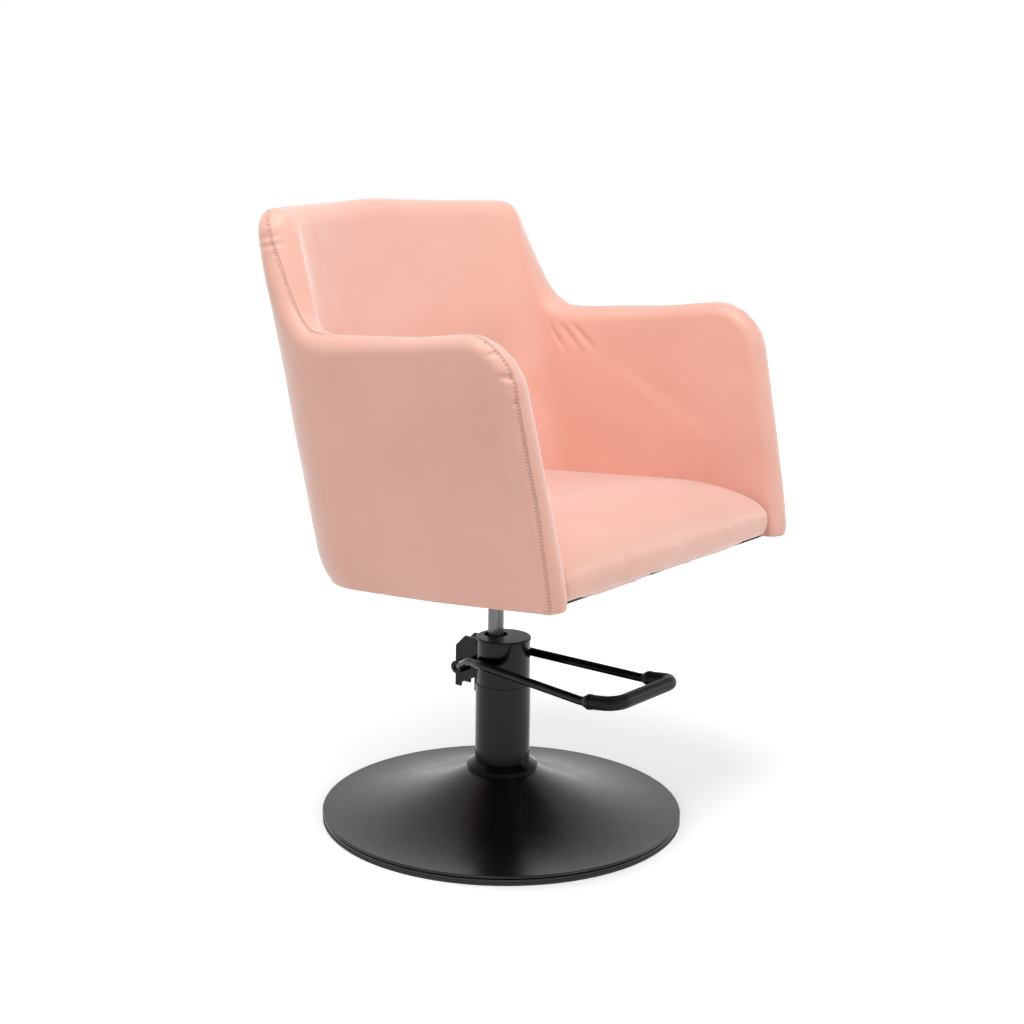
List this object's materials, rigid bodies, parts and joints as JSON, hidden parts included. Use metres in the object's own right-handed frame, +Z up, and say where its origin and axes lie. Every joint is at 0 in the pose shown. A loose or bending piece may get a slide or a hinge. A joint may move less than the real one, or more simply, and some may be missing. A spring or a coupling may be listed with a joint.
{
  "type": "hairdressing chair",
  "caption": "Upholstered tub chair for a hairdresser, on a hydraulic pump with a foot pedal and a round metal base.",
  "frame": {"origin": "centre of the base's underside, on the floor", "axes": "+Z up; the foot pedal points to -Y, and the seat faces -Y but for the small turn of the pictured pose"},
  "size_m": [0.6587, 0.613, 0.9291],
  "materials": {
    "base_black": "satin",
    "gloss_black": "gloss",
    "black_plastic": "gloss",
    "edge_rubber": "matte",
    "grip_rubber": "satin",
    "seal_rubber": "matte",
    "rod_steel": "satin",
    "bright_steel": "satin",
    "plain_steel": "satin",
    "zinc_steel": "satin",
    "cast_aluminium": "satin",
    "bronze": "satin",
    "plywood": "matte",
    "black_cloth": "matte",
    "pink_vinyl": "satin"
  },
  "bodies": {
    "base": {"base_disc": "base_black", "base_edge_ring": "edge_rubber", "base_hub_plate": "plain_steel", "base_bolts": "zinc_steel", "base_washers": "zinc_steel", "pump_foot": "plain_steel", "pump_collar": "gloss_black", "pump_lower_tube": "gloss_black", "pump_upper_shroud": "gloss_black", "pump_top_cap": "black_plastic", "valve_block": "plain_steel", "cylinder_tube": "bright_steel", "pump_head": "cast_aluminium", "rod_bush": "bronze", "rod_seal": "seal_rubber", "lever_bracket": "gloss_black"},
    "plunger": {"plunger": "bright_steel", "plunger_spring": "bright_steel"},
    "pedal": {"pivot_pin": "bright_steel", "pedal_bosses": "gloss_black", "rocker_arm": "plain_steel", "pedal_bar": "gloss_black", "pedal_grip": "grip_rubber"},
    "lift": {"piston": "bright_steel", "piston_seal": "seal_rubber", "piston_rod": "rod_steel"},
    "seat": {"seat_hub": "base_black", "mount_plate": "base_black", "mount_screws": "zinc_steel", "tee_nuts": "zinc_steel", "seat_board": "plywood", "dust_cover": "black_cloth", "shell_frame": "plywood", "outer_cover": "pink_vinyl", "inner_cover": "pink_vinyl", "seat_cushion": "pink_vinyl"}
  },
  "joints": [
    {"name": "seat_lift", "type": "slide", "parent": "base", "child": "lift", "axis": [0, 0, 1], "range_m": [-0.042, 0.09]},
    {"name": "seat_swivel", "type": "hinge", "parent": "lift", "child": "seat", "pos_m": [0, 0.0157, 0.4], "axis": [0, 0, 1], "continuous": true},
    {"name": "pedal_press", "type": "hinge", "parent": "base", "child": "pedal", "pos_m": [0, 0.0733, 0.226], "axis": [1, 0, 0], "range_deg": [0, 15], "stiffness_Nm_per_rad": 8, "springref_deg": -25.78},
    {"name": "plunger_stroke", "type": "slide", "parent": "base", "child": "plunger", "axis": [0, 0, -1], "range_m": [0, 0.0205], "deforming": ["plunger_spring"]}
  ],
  "couplings": [
    {"joint": "plunger_stroke", "follows": "pedal_press", "m_per_rad": 0.0753}
  ]
}
